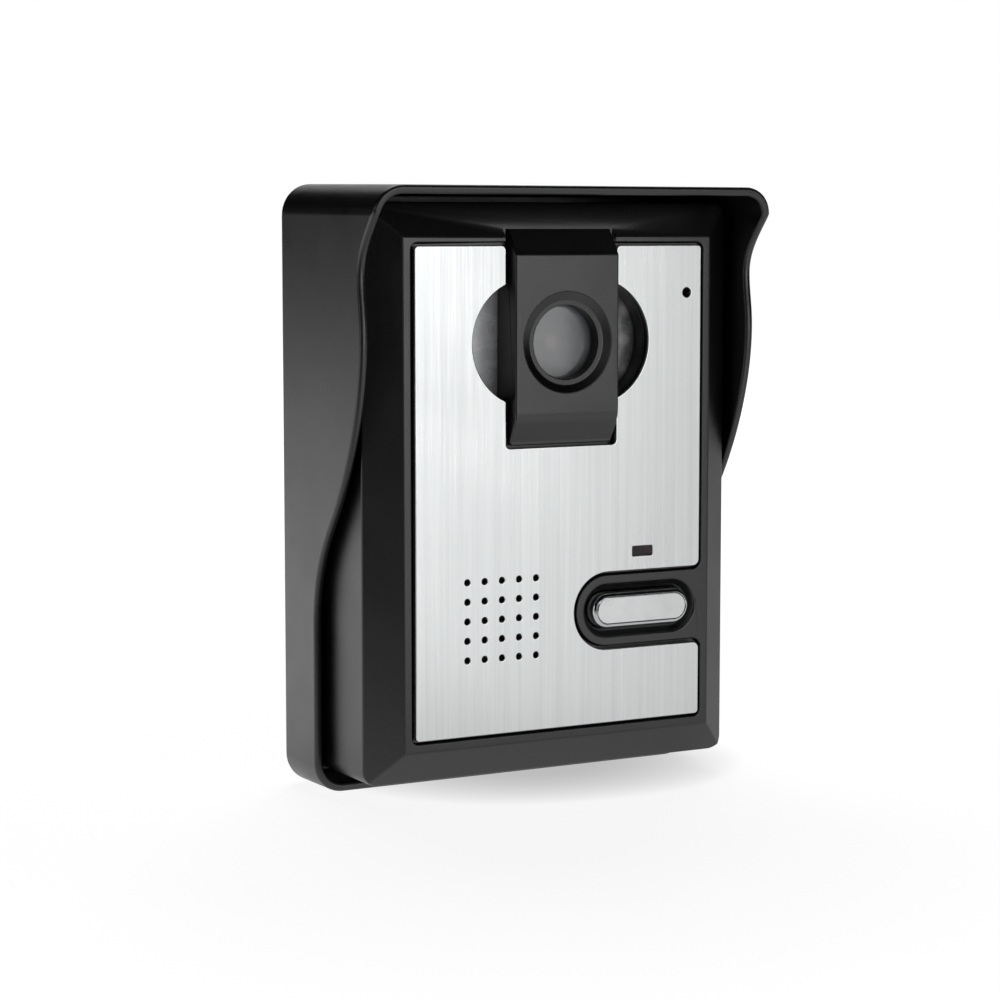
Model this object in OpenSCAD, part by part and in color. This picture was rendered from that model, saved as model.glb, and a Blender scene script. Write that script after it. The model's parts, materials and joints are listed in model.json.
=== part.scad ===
// Door intercom panel: the outdoor station of a video door phone, with its rain hood.
// Millimetres. +Z is up, the front faces -Y, and the origin is the middle of the hood's wall face.

/* [Rain hood] */
// Width across the hood's side walls
hood_w = 100; // [100:0.5:103]
// Height of the hood
hood_h = 137.5; // [137:0.5:140]
// Wall thickness of the hood
hood_wall = 2; // [1.6:0.1:2]
// Radius of the hood's outer corners
hood_r = 7; // [5:0.5:8]
// How far the visor's front edge stands off the wall
visor_reach = 49.8; // [49:0.1:54]
// How far the side walls stand off the wall beside the camera
cheek_reach = 42.2; // [42:0.1:46]
// How far the low side walls stand off the wall
low_reach = 17.1; // [15:0.1:19]
// Degrees by which the side walls lean outwards
hood_flare = 0.7; // [0:0.1:0.8]
// Degrees by which the top and bottom walls close in towards the front
hood_draft = 0.9; // [0:0.1:1]

/* [Housing] */
// Width of the front housing
body_w = 94; // [93:0.5:94]
// Height of the front housing
body_h = 128.4; // [127.4:0.2:128.4]
// Radius of the housing's corners
body_r = 3.5; // [2:0.5:4]
// Distance from the wall to the housing's front
body_front = 40.5; // [40.5:0.1:42]
// Sideways width of the bevel round the front
bevel_w = 7.6; // [7:0.1:7.8]
// Depth of the bevel
bevel_d = 5.6; // [5:0.1:6]
// Wall thickness of the housing
shell = 2; // [1.8:0.1:2.2]

/* [Face plate] */
// Width of the brushed plate
plate_w = 73.6; // [73:0.1:74]
// Height of the brushed plate
plate_h = 108.6; // [108:0.1:109]
// Thickness of the brushed plate
plate_t = 1.2; // [1:0.1:1.2]
// How far the brushed plate stands proud of the housing's lip
plate_proud = 0.4; // [0.3:0.1:0.5]
// Width of the groove between the plate and the housing's lip
plate_gap = 0.7; // [0.6:0.1:0.8]

/* [Camera] */
// Height of the camera axis above the middle of the hood
cam_z = 33.5; // [33:0.1:34]
// Radius of the rounded ends of the camera window
window_r = 14.05; // [13.8:0.05:14.2]
// Width of the bridge that crosses the window
bridge_w = 26.5; // [26:0.1:27]
// How far the bridge stands proud of the plate
bridge_proud = 3; // [2.6:0.1:3.4]
// Radius of the opening in front of the lens
sight_r = 8.3; // [8:0.1:8.4]
// Number of infrared lamps on each side
lamps_per_side = 3; // [2:1:3]

/* [Call button] */
// Length of the button, end to end
button_l = 25.6; // [25:0.1:26]
// Height of the button
button_h = 8.1; // [7.8:0.1:8.2]
// How far the button travels when it is pressed
button_travel = 0.8; // [0.5:0.1:0.8]

/* [Speaker and microphone] */
// Speaker holes along each side of the square grid
grid_count = 5; // [3:1:5]
// Distance between speaker holes
grid_pitch = 4.36; // [4:0.01:4.4]
// Diameter of a speaker hole in the plate
grid_hole = 1.4; // [1.2:0.1:1.6]
// Diameter of the microphone hole
mic_hole = 2.2; // [1.8:0.1:2.4]

/* [Wall fixing] */
// Sideways distance between the wall screws
wall_screw_x = 60; // [56:1:60]
// Upright distance between the wall screws
wall_screw_z = 84; // [80:1:84]
// Diameter of a wall screw hole
wall_screw_d = 4.4; // [4:0.1:4.6]

/* [Hidden] */

$fn = 64;
eps = 0.01;

// Depths, as Y positions from the front to the wall
front_y = -body_front;
plate_front = front_y - plate_proud;
plate_back = plate_front + plate_t;
adhesive_t = 0.7;
pocket_y = plate_back + adhesive_t;
wall_back = pocket_y + 2.2;
window_front = -34.8;
window_t = 1.7;
collar_back = -33;
lamp_board_y = -27.4;
camera_board_y = -20;
main_board_y = -24;
board_t = 1.6;
cover_front = -7;
cover_back = -5;
seal_t = 0.7;
rim_y = cover_front - seal_t;
boss_end = -9.85;

// Housing outline
body_z = 0.3;
body_top = body_z + body_h / 2;
body_bottom = body_z - body_h / 2;
bevel_y = front_y + bevel_d;
slant = sqrt(bevel_w * bevel_w + bevel_d * bevel_d);
bevel_in = shell * slant / bevel_d;
plate_z = 0.65;
mouth_r = 1.5;

// Camera window and bridge
window_half = 8.65;
well_r = window_r - 0.25;
slot_half = bridge_w / 2 + 1;
slot_bottom = 10.1;
slot_r = 1.1;
bridge_front = front_y - bridge_proud;
bridge_bottom = slot_bottom + 0.6;
bridge_shoulder = 53.5;
bridge_top = 58.6;
bridge_pins = [for (x = [-9, 9], z = [15, 52.5]) [x, z]];
tunnel_r = 9.95;
bezel_r = 11.4;
ring_r = 9.5;
ring_drop = 0.85;
glass_r = 9;
glass_front = -39.6;
glass_t = 1.5;
lamp_x = 19.2;
lamp_pitch = 6.8;
lamp_r = 2.5;
lamp_board_holes = [for (x = [-24.5, 24.5], z = [-14, 14]) [x, cam_z + z]];
spacer_holes = [for (x = [-16, 16], z = [-15, 15]) [x, cam_z + z]];

// Button and its surround
button_x = 21;
button_z = -27.85;
button_half = (button_l - button_h) / 2;
button_top = front_y - 1;
button_bevel = 0.85;
notch_r = 8.93;
island_r = 8.15;
dish_r = 6.15;
dish_floor_r = 4.9;
dish_floor_y = front_y + 2.2;
aperture_r = button_h / 2 + 0.25;
flange_y = wall_back + 0.2;
flange_t = 1.2;
flange_r = 5.4;
guide_y = -31.5;
guide_t = 1.5;
post_x = 6.5;
post_r = 1.2;
stem_r = 1.6;
guide_holes = [[12, -37.2], [30, -18.5]];
switch_top = main_board_y - 3.6;
plunger_top = -29.4;
plunger_end = plunger_top + 3.3;

// Small openings in the plate
status_at = [21.4, -14.6];
status_size = [5.4, 2.25];
mic_at = [32.95, 44.2];
speaker_at = [-15.3, -27.8];
speaker_r = 16;

// Fixing points
cover_holes = [for (x = [-41, 41], z = [-57.5, 57.6]) [x, z]];
board_holes = [for (x = [-33, 33], z = [-53.5, 6.5]) [x, z]];
board_w = 72;
board_z0 = -57;
board_z1 = 10;
hook_x = 28;
hook_z = 44;
cable_z = -24;
cable_w = 36;
cable_h = 24;
terminal_pitch = 5.08;
trimmer_at = [22, -8];
hood_screw_y = -12.5;
screw_sink = 1.95;
pilot = 0.05;

charcoal = "#2e3032";
black_plastic = "#1b1c1e";
rubber_black = "#141414";
satin_alu = "#d6d9d8";
chrome_grey = "#c9cccd";
board_green = "#2f6b3c";
steel = "#a9adb0";
brass = "#c2a14a";

// ---- Building helpers ----

// Extrudes an X-Z outline from y0 to y1
module along_y(y0, y1) {
    translate([0, y1, 0])
        rotate([90, 0, 0])
            linear_extrude(y1 - y0) children();
}

// Extrudes a Y-Z outline from x0 to x1
module along_x(x0, x1) {
    translate([x0, 0, 0])
        rotate([90, 0, 90])
            linear_extrude(x1 - x0) children();
}

// Round bar along Y
module bar_y(at, y0, y1, r) {
    translate([at[0], y1, at[1]])
        rotate([90, 0, 0])
            cylinder(h = y1 - y0, r = r);
}

// Cone along Y: radius r0 at y0 and r1 at y1
module cone_y(at, y0, y1, r0, r1) {
    translate([at[0], y1, at[1]])
        rotate([90, 0, 0])
            cylinder(h = y1 - y0, r1 = r1, r2 = r0);
}

// Block centred on an X-Z point
module block_y(at, size, y0, y1) {
    translate([at[0] - size[0] / 2, y0, at[1] - size[1] / 2])
        cube([size[0], y1 - y0, size[1]]);
}

// Turned shape about a line along Y; the outline holds [radius, distance in front of the wall]
module turned_y(at) {
    translate([at[0], 0, at[1]])
        rotate([90, 0, 0])
            rotate_extrude() children();
}

// Rectangle with round corners, centred on the origin
module round_rect(w, h, r) {
    square([w - 2 * r, h], center = true);
    square([w, h - 2 * r], center = true);
    for (x = [-1, 1], z = [-1, 1])
        translate([x * (w / 2 - r), z * (h / 2 - r)]) circle(r);
}

// Rectangle with round ends
module obround(half, r) {
    square([2 * half, 2 * r], center = true);
    for (x = [-half, half])
        translate([x, 0]) circle(r);
}

// What a round corner leaves off; dx and dz point from the corner into the sheet
module corner_waste(at, dx, dz, r) {
    translate(at) difference() {
        translate([dx < 0 ? -r : -eps, dz < 0 ? -r : -eps]) square(r + eps);
        translate([dx * r, dz * r]) circle(r);
    }
}

// Points along a cubic curve, without its last point
function curve(a, b, c, d, steps) = [
    for (i = [0:steps - 1])
        let (t = i / steps, u = 1 - t)
            u * u * u * a + 3 * u * u * t * b + 3 * u * t * t * c + t * t * t * d
];

// Points along an arc, both ends included
function arc(centre, r, from, to, steps) = [
    for (i = [0:steps])
        let (a = from + (to - from) * i / steps)
            centre + r * [cos(a), sin(a)]
];

function unit(v) = v / norm(v);

// Round tube swept along points, with flat ends
module swept(points, r, sides = 8) {
    last = len(points) - 1;
    rings = [
        for (i = [0:last])
            let (
                along = unit(points[min(i + 1, last)] - points[max(i - 1, 0)]),
                side = unit(cross(along, abs(along[0]) < 0.8 ? [1, 0, 0] : [0, 0, 1])),
                up = cross(along, side)
            )
                for (k = [0:sides - 1])
                    points[i] + r * (cos(360 * k / sides) * side + sin(360 * k / sides) * up)
    ];
    walls = [
        for (i = [0:last - 1], k = [0:sides - 1])
            let (next = (k + 1) % sides)
                [i * sides + k, i * sides + next, (i + 1) * sides + next, (i + 1) * sides + k]
    ];
    caps = [
        [for (k = [sides - 1:-1:0]) k],
        [for (k = [0:sides - 1]) last * sides + k]
    ];
    polyhedron(points = rings, faces = concat(walls, caps), convexity = 4);
}

// Pan-head screw driven from the back; y is the face under its head
module back_screw(at, y, shank_r, shank_l, head_r, head_h) {
    difference() {
        bar_y(at, y, y + head_h, head_r);
        block_y(at, [0.6, 1.2 * head_r], y + 0.5 * head_h, y + head_h + 1);
        block_y(at, [1.2 * head_r, 0.6], y + 0.5 * head_h, y + head_h + 1);
    }
    bar_y(at, y - shank_l, y + eps, shank_r);
}

// Screw boss standing on the housing's front wall
module boss(at, y, r) {
    bar_y(at, wall_back - 1, y, r);
}

// ---- Rain hood ----

// Side view of the hood: everything behind the curved front edge of its side walls
module hood_side() {
    z = hood_h / 2 + 1;
    waist = cheek_reach - 1.2;
    edge = concat(
        [[low_reach, -z]],
        curve([low_reach, -30], [low_reach, -18], [22.4, -11], [27, -5], 16),
        curve([27, -5], [33, 2.8], [cheek_reach, 19.5], [cheek_reach, 36], 22),
        curve([cheek_reach, 36], [cheek_reach, 41], [waist, 44.5], [waist, 48.5], 8),
        curve([waist, 48.5], [waist, 53.5], [visor_reach - 5.1, 57], [visor_reach - 1.1, 62], 14),
        [[visor_reach - 1.1, 62], [visor_reach, 68], [visor_reach, z], [-1, z], [-1, -z]]
    );
    polygon([for (p = edge) [-p[0], p[1]]]);
}

// Tray shape with leaning walls, from y0 to y1; the sizes are those at the wall
module tapered_tray(w, h, r, y0, y1) {
    over = 2;
    for (x = [-0.5, 0.5], z = [-0.5, 0.5])
        intersection() {
            translate([x * w, 0, z * h])
                rotate([2 * z * hood_draft, 0, 2 * x * hood_flare])
                    translate([-x * w, 0, -z * h])
                        along_y(y0 - over, y1 + over) round_rect(w, h, r);
            translate([x < 0 ? -w : 0, y0, z < 0 ? -h : 0]) cube([w, y1 - y0, h]);
        }
}

// Hook that carries the station; its lip stands up behind the rear cover
module hood_hook(x) {
    translate([x - 3.5, 0, hook_z]) {
        translate([0, -9, 0]) cube([7, 8, 3]);
        translate([0, -9, 0]) cube([7, 1.8, 4.2]);
    }
}

module rain_hood() color(charcoal) {
    inner_w = hood_w - 2 * hood_wall;
    inner_h = hood_h - 2 * hood_wall;
    difference() {
        union() {
            difference() {
                intersection() {
                    tapered_tray(hood_w, hood_h, hood_r, -visor_reach - 1, 0);
                    along_x(-hood_w, hood_w) hood_side();
                }
                tapered_tray(inner_w, inner_h, hood_r - hood_wall, -visor_reach - 2, -hood_wall);
            }
            for (x = [-hook_x, hook_x]) hood_hook(x);
            for (x = [-38, 38], z = [-30, 30])
                bar_y([x, z], cover_back + 0.05, -1, 3);
            translate([0, hood_screw_y, -hood_h / 2 + 1]) cylinder(h = 3.4, r = 4);
        }
        for (x = [-0.5, 0.5], z = [-0.5, 0.5])
            bar_y([x * wall_screw_x, z * wall_screw_z], -hood_wall - 1, 1, wall_screw_d / 2);
        along_y(-hood_wall - 1, 1)
            translate([0, cable_z]) round_rect(cable_w, cable_h, 2);
        translate([0, hood_screw_y, -hood_h / 2 - 1]) cylinder(h = 6, r = 1.7);
        translate([0, hood_screw_y, -hood_h / 2 - 1]) cylinder(h = 1 + screw_sink, r = 3.1);
    }
}

// Screw that goes up through the hood's bottom wall into the housing
module hood_screw() color(steel) {
    translate([0, hood_screw_y, screw_sink - hood_h / 2]) {
        difference() {
            translate([0, 0, -1.8]) cylinder(h = 1.8, r = 2.9);
            translate([-0.4, -1.7, -2.8]) cube([0.8, 3.4, 2]);
            translate([-1.7, -0.4, -2.8]) cube([3.4, 0.8, 2]);
        }
        translate([0, 0, -eps]) cylinder(h = 9, r = 1.5);
    }
}

// ---- Front housing ----

// Solid with a bevel that is mitred at the corners; inset shrinks it all round
module bevelled(inset, bevel_inset, y0, y1) {
    w = body_w / 2 - inset;
    flat = body_w / 2 - bevel_w - bevel_inset;
    slope = bevel_w / bevel_d;
    knee_y = bevel_y + (bevel_inset - inset) / slope;
    top_flat = body_top - bevel_w - bevel_inset;
    bottom_flat = body_bottom + bevel_w + bevel_inset;
    reach = y0 - front_y;
    intersection() {
        translate([0, 0, body_bottom - 1]) linear_extrude(body_h + 2)
            polygon([
                [-w, y1], [-w, knee_y], [-flat - slope * reach, y0],
                [flat + slope * reach, y0], [w, knee_y], [w, y1]
            ]);
        along_x(-body_w, body_w)
            polygon([
                [y1, body_top - inset], [knee_y, body_top - inset],
                [y0, top_flat + slope * reach], [y0, bottom_flat - slope * reach],
                [knee_y, body_bottom + inset], [y1, body_bottom + inset]
            ]);
        along_y(y0 - 1, y1 + 1)
            translate([0, body_z])
                round_rect(body_w - 2 * inset, body_h - 2 * inset, max(body_r - inset, 1));
    }
}

// Recess for the plate, leaving the island that surrounds the button
module plate_pocket() {
    difference() {
        translate([0, plate_z])
            round_rect(plate_w + 2 * plate_gap, plate_h + 2 * plate_gap, 1.6);
        translate([button_x - button_half, button_z]) circle(island_r);
        translate([button_x - button_half, button_z - island_r])
            square([plate_w, 2 * island_r]);
        for (side = [-1, 1])
            corner_waste(
                [plate_w / 2 + plate_gap, button_z + side * island_r], -1, side, mouth_r + plate_gap
            );
    }
}

// Sloping bowl round the button, opening towards the front
module button_dish() {
    left = [button_x - button_half, button_z];
    right = [button_x + button_half, button_z];
    over = 0.5;
    grow = over * (dish_r - dish_floor_r) / (dish_floor_y - front_y);
    for (at = [left, right])
        cone_y(at, front_y - over, dish_floor_y, dish_r + grow, dish_floor_r);
    along_x(left[0], right[0])
        translate([0, button_z])
            polygon([
                [front_y - over, -dish_r - grow], [dish_floor_y, -dish_floor_r],
                [dish_floor_y, dish_floor_r], [front_y - over, dish_r + grow]
            ]);
}

// Square grid of holes in front of the speaker
module speaker_grid(y0, y1, r) {
    half = (grid_count - 1) / 2;
    for (i = [-half:half], j = [-half:half])
        bar_y(speaker_at + grid_pitch * [i, j], y0, y1, r);
}

module front_housing() color(charcoal) {
    difference() {
        intersection() {
            union() {
                difference() {
                    bevelled(0, 0, front_y, rim_y);
                    bevelled(shell, bevel_in, wall_back, rim_y + 1);
                }
                along_y(wall_back - 1, collar_back)
                    translate([0, cam_z]) obround(window_half, window_r + 2.5);
                for (at = cover_holes) boss(at, boss_end, 4.2);
                for (at = board_holes) boss(at, main_board_y, 3);
                for (at = lamp_board_holes) boss(at, lamp_board_y, 2.8);
                for (at = guide_holes) boss(at, guide_y, 2.4);
                boss(speaker_at, wall_back + 3.5, speaker_r + 1.6);
                boss(mic_at, wall_back + 3.5, 5.3);
                block_y([0, body_bottom + 5], [9, 10], hood_screw_y - 4.5, hood_screw_y + 4.5);
            }
            bevelled(0, 0, front_y, rim_y);
        }
        along_y(front_y - 1, pocket_y) plate_pocket();
        // Way for the camera bridge through the lip and the bevel
        block_y([0, body_top - 4], [2 * slot_half, 16], front_y - 1, pocket_y);
        along_y(front_y - 1, collar_back + 1)
            translate([0, cam_z]) obround(window_half, well_r);
        along_y(window_front, collar_back + 1)
            translate([0, cam_z]) obround(window_half, window_r + 0.95);
        for (at = bridge_pins) bar_y(at, pocket_y - 1, wall_back + 1, 1.4);
        button_dish();
        along_y(front_y - 1, wall_back + 1)
            translate([button_x, button_z]) obround(button_half, aperture_r);
        bar_y(speaker_at, wall_back, wall_back + 5, speaker_r + 0.4);
        bar_y(mic_at, wall_back, wall_back + 5, 4.3);
        bar_y(mic_at, pocket_y - 1, wall_back + 1, mic_hole / 2 + 0.1);
        speaker_grid(pocket_y - 1, wall_back + 1, grid_hole / 2 + 0.2);
        block_y(status_at, status_size + [0.2, 0.2], pocket_y - 1, wall_back + 1);
        for (at = cover_holes) bar_y(at, boss_end - 13, boss_end + 1, 1.4 + pilot);
        for (at = board_holes) bar_y(at, main_board_y - 9, main_board_y + 1, 1 + pilot);
        for (at = lamp_board_holes) bar_y(at, lamp_board_y - 7, lamp_board_y + 1, 1 + pilot);
        for (at = guide_holes) bar_y(at, guide_y - 5, guide_y + 1, 1 + pilot);
        translate([0, hood_screw_y, body_bottom - 1]) cylinder(h = 9.5, r = 1.5 + pilot);
    }
}

// ---- Face plate ----

module face_plate() color(satin_alu) {
    half = plate_w / 2;
    top = plate_z + plate_h / 2;
    slot_mid = (slot_bottom + body_top) / 2;
    difference() {
        along_y(plate_front, plate_back) difference() {
            translate([0, plate_z]) round_rect(plate_w, plate_h, 0.9);
            translate([0, cam_z]) obround(window_half, window_r);
            translate([0, slot_mid])
                round_rect(2 * slot_half, body_top - slot_bottom, slot_r);
            translate([button_x - button_half, button_z]) circle(notch_r);
            translate([button_x - button_half, button_z - notch_r])
                square([plate_w, 2 * notch_r]);
            corner_waste([half, button_z + notch_r], -1, 1, mouth_r);
            corner_waste([half, button_z - notch_r], -1, -1, mouth_r);
            corner_waste([-slot_half, top], -1, -1, slot_r);
            corner_waste([slot_half, top], 1, -1, slot_r);
            translate(status_at) round_rect(status_size[0], status_size[1], 0.35);
        }
        bar_y(mic_at, plate_front - 1, plate_back + 1, mic_hole / 2);
        speaker_grid(plate_front - 1, plate_back + 1, grid_hole / 2);
    }
}

// Thin double-sided sheet that holds the plate in its pocket
module plate_adhesive() color("#e8e4d8") {
    grid_w = grid_count * grid_pitch + 1;
    margin = 1;
    along_y(plate_back + eps, pocket_y - eps) difference() {
        translate([0, plate_z])
            round_rect(plate_w - 2 * margin, plate_h - 2 * margin, 0.9);
        translate([0, cam_z]) obround(window_half, window_r + margin);
        translate([-slot_half - margin, slot_bottom - margin])
            square([2 * (slot_half + margin), plate_h]);
        translate([button_x - button_half, button_z]) circle(notch_r + margin);
        translate([button_x - button_half, button_z - notch_r - margin])
            square([plate_w, 2 * (notch_r + margin)]);
        translate(speaker_at) square(grid_w, center = true);
        translate(status_at) square(status_size + [2, 2], center = true);
        translate(mic_at) circle(mic_hole);
    }
}

// ---- Camera bridge and optics ----

// Side view of the bridge: flat front, ramp at the bottom, sloping shoulder at the top
module bridge_side() {
    ramp_r = 6;
    ramp_angle = 28;
    crown = [bridge_front + ramp_r, 18.2];
    foot_z = 12;
    polygon(concat(
        [
            [pocket_y, bridge_bottom], [front_y - 0.15, bridge_bottom],
            [front_y - 0.15, foot_z - 0.6], [front_y - 0.35, foot_z]
        ],
        arc(crown, ramp_r, 180 + ramp_angle, 180, 6),
        [
            [bridge_front, bridge_shoulder - 0.5], [bridge_front + 0.35, bridge_shoulder],
            [pocket_y - 0.35, bridge_top], [pocket_y, bridge_top]
        ]
    ));
}

module camera_bridge() color(charcoal) {
    difference() {
        union() {
            intersection() {
                along_x(-bridge_w / 2, bridge_w / 2) bridge_side();
                along_y(bridge_front - 1, pocket_y)
                    translate([0, (bridge_bottom + bridge_top + 10) / 2])
                        round_rect(bridge_w, bridge_top + 10 - bridge_bottom, 1);
            }
            along_y(pocket_y - 1, window_front - 0.1) intersection() {
                translate([0, cam_z]) obround(window_half, well_r - 0.1);
                translate([0, cam_z]) square([bridge_w, 60], center = true);
            }
            for (at = bridge_pins) bar_y(at, pocket_y - 1, wall_back + 0.3, 1.3);
        }
        bar_y([0, cam_z], bridge_front - 1, window_front + 1, tunnel_r);
        bar_y([0, cam_z], bridge_front - 1, bridge_front + 2.05, bezel_r + 0.05);
    }
}

// Ring let into the bridge: a sloping collar, a flat ring and the seat for the glass
module lens_bezel() color(black_plastic) {
    face = -bridge_front;
    seat = -glass_front + 0.05;
    turned_y([0, cam_z])
        polygon([
            [sight_r, face - ring_drop], [ring_r, face - ring_drop], [bezel_r, face],
            [bezel_r, face - 2], [tunnel_r - 0.05, face - 2], [tunnel_r - 0.05, seat - 2.1],
            [glass_r + 0.05, seat - 2.1], [glass_r + 0.05, seat], [sight_r, seat]
        ]);
}

module lens_glass() color("#7d8488", 0.6) {
    bar_y([0, cam_z], glass_front, glass_front + glass_t, glass_r);
}

// Rubber tube that keeps the lamps' light out of the lens
module light_shield() color(rubber_black) {
    difference() {
        bar_y([0, cam_z], glass_front + glass_t + 0.05, lamp_board_y - 0.05, 8.9);
        bar_y([0, cam_z], glass_front, lamp_board_y + 1, 7.7);
    }
}

module ir_window() color("#6d7376", 0.6) {
    difference() {
        along_y(window_front + 0.05, window_front + 0.05 + window_t)
            translate([0, cam_z]) obround(window_half, window_r + 0.85);
        bar_y([0, cam_z], window_front - 1, collar_back + 1, 9.2);
    }
}

module ir_lamp_board() color(board_green) {
    difference() {
        along_y(lamp_board_y, lamp_board_y + board_t)
            translate([0, cam_z]) round_rect(57, 36, 1);
        bar_y([0, cam_z], lamp_board_y - 1, lamp_board_y + board_t + 1, 7.8);
        for (at = lamp_board_holes)
            bar_y(at, lamp_board_y - 1, lamp_board_y + board_t + 1, 1.25);
        for (at = spacer_holes)
            bar_y(at, lamp_board_y - 1, lamp_board_y + board_t + 1, 1.25);
    }
}

module ir_lamps() color("#b9c0c8") {
    half = (lamps_per_side - 1) / 2;
    for (x = [-lamp_x, lamp_x], i = [-half:half]) {
        at = [x, cam_z + i * lamp_pitch];
        bar_y(at, lamp_board_y - 1.05, lamp_board_y - 0.05, lamp_r + 0.4);
        bar_y(at, lamp_board_y - 2.9, lamp_board_y - 1, lamp_r);
        translate([at[0], lamp_board_y - 2.9, at[1]]) sphere(lamp_r);
    }
}

module light_sensor() color("#b98a4e") {
    at = [15.2, cam_z - 10.9];
    bar_y(at, lamp_board_y - 2.05, lamp_board_y - 0.05, 1.9);
}

module lamp_board_screws() color(steel) {
    for (at = lamp_board_holes)
        back_screw(at, lamp_board_y + board_t + 0.02, 1, 7.5, 2.1, 1.5);
}

module board_spacers() color(brass) {
    for (at = spacer_holes) difference() {
        bar_y(at, lamp_board_y + board_t + 0.02, camera_board_y - 0.02, 2.2);
        bar_y(at, lamp_board_y, camera_board_y + 1, 1 + pilot);
    }
}

// Short screws that hold the spacers to the front of the lamp board
module spacer_screws() color(steel) {
    for (at = spacer_holes) {
        bar_y(at, lamp_board_y - 1.3, lamp_board_y - 0.02, 1.9);
        bar_y(at, lamp_board_y - 0.05, lamp_board_y + 3.4, 1);
    }
}

module camera_board() color(board_green) {
    difference() {
        along_y(camera_board_y, camera_board_y + board_t)
            translate([0, cam_z]) round_rect(38, 38, 1);
        for (at = spacer_holes)
            bar_y(at, camera_board_y - 1, camera_board_y + board_t + 1, 1.25);
    }
}

module camera_board_screws() color(steel) {
    for (at = spacer_holes)
        back_screw(at, camera_board_y + board_t + 0.02, 1, 3.6, 2, 1.4);
}

module image_sensor() color("#3a3f46") {
    block_y([0, cam_z], [9, 9], camera_board_y - 1.05, camera_board_y - 0.05);
}

module lens_holder() color(black_plastic) {
    base_y = camera_board_y - 4;
    difference() {
        union() {
            block_y([0, cam_z], [18, 18], base_y, camera_board_y - 0.05);
            bar_y([0, cam_z], -31.5, base_y + 1, 7.4);
        }
        block_y([0, cam_z], [13, 13], camera_board_y - 2, camera_board_y + 1);
        bar_y([0, cam_z], -32, camera_board_y, 6 + pilot);
    }
}

module lens_barrel() color("#222325") {
    turned_y([0, cam_z])
        polygon([
            [2.6, 23], [6, 23], [6, 31.6], [7, 31.6], [7, 36.9],
            [6.2, 36.9], [4.4, 35.4], [4.4, 33], [2.6, 33]
        ]);
}

// Outer lens of the camera, a shallow dome in the barrel's mouth
module front_lens() color("#4a5668", 0.6) {
    dome_r = 6;
    base_y = -33.05;
    intersection() {
        bar_y([0, cam_z], -36, base_y, 4.35);
        translate([0, base_y - 2 + dome_r, cam_z]) sphere(dome_r);
    }
}

// ---- Call button ----

// Solid with round ends along Y
module button_bar(y0, y1, r) {
    along_y(y0, y1)
        translate([button_x, button_z]) obround(button_half, r);
}

module call_button() color(chrome_grey) {
    r = button_h / 2;
    bevel_end = button_top + button_bevel;
    for (x = [-button_half, button_half])
        cone_y([button_x + x, button_z], button_top, bevel_end, r - button_bevel, r);
    along_x(button_x - button_half, button_x + button_half)
        translate([0, button_z])
            polygon([
                [button_top, button_bevel - r], [bevel_end, -r],
                [bevel_end, r], [button_top, r - button_bevel]
            ]);
    button_bar(bevel_end, flange_y + eps, r);
    button_bar(flange_y, flange_y + flange_t, flange_r);
    for (x = [-post_x, post_x])
        bar_y([button_x + x, button_z], flange_y, -29, post_r);
    bar_y([button_x, button_z], flange_y, plunger_top - 0.05, stem_r);
}

// Return springs on the button's two posts
module button_springs() color(steel) {
    wire_r = 0.2;
    coil_r = 1.75;
    turns = 4;
    steps = 14;
    y0 = flange_y + flange_t + wire_r + 0.05;
    y1 = guide_y - wire_r - 0.05;
    for (x = [-post_x, post_x])
        translate([button_x + x, 0, button_z])
            swept([
                for (i = [0:turns * steps])
                    let (a = 360 * i / steps, y = y0 + (y1 - y0) * i / (turns * steps))
                        [coil_r * cos(a), y, coil_r * sin(a)]
            ], wire_r, 6);
}

module button_guide() color("#3b3e41") {
    difference() {
        along_y(guide_y, guide_y + guide_t) {
            translate([button_x, button_z]) square([26, 11], center = true);
            for (at = guide_holes) {
                translate(at) circle(2.6);
                translate([at[0] - 2.6, min(at[1], button_z)])
                    square([5.2, abs(at[1] - button_z)]);
            }
        }
        for (x = [-post_x, post_x])
            bar_y([button_x + x, button_z], guide_y - 1, guide_y + 3, post_r + 0.1);
        bar_y([button_x, button_z], guide_y - 1, guide_y + 3, stem_r + 0.4);
        for (at = guide_holes) bar_y(at, guide_y - 1, guide_y + 3, 1.2);
    }
}

module guide_screws() color(steel) {
    for (at = guide_holes)
        back_screw(at, guide_y + guide_t + 0.02, 1, 5.5, 2, 1.4);
}

module call_switch() color("#26282a") {
    difference() {
        block_y([button_x, button_z], [7, 7], switch_top, main_board_y - 0.02);
        bar_y([button_x, button_z], switch_top - 1, plunger_end + button_travel + 0.2, 1.85);
    }
}

module switch_plunger() color("#d8d2c2") {
    bar_y([button_x, button_z], plunger_top, plunger_end, 1.7);
}

// ---- Status lamp, microphone and speaker ----

// Tinted light guide that fills the small window above the button
module status_window() color("#4a1f22") {
    block_y(status_at, status_size - [0.2, 0.2], plate_front + 0.2, -30);
    block_y(status_at, status_size + [1.8, 1.8], wall_back + 0.03, wall_back + 1);
}

module status_lamp() color("#c43a34") {
    bar_y(status_at, main_board_y - 5.4, main_board_y - 0.02, 1.5);
}

module mic_boot() color(rubber_black) {
    difference() {
        bar_y(mic_at, wall_back + 0.05, wall_back + 3.6, 4.2);
        bar_y(mic_at, wall_back + 1.05, wall_back + 5, 3.05);
        bar_y(mic_at, wall_back - 1, wall_back + 2, 1);
    }
}

module mic_capsule() color(steel) {
    bar_y(mic_at, wall_back + 1.1, wall_back + 3.6, 3);
}

module speaker_cloth() color("#101010") {
    bar_y(speaker_at, wall_back + 0.03, wall_back + 0.2, speaker_r - 0.3);
}

module speaker_gasket() color("#2a2a2a") {
    difference() {
        bar_y(speaker_at, wall_back + 0.22, wall_back + 1, speaker_r);
        bar_y(speaker_at, wall_back, wall_back + 2, 13.6);
    }
}

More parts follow.
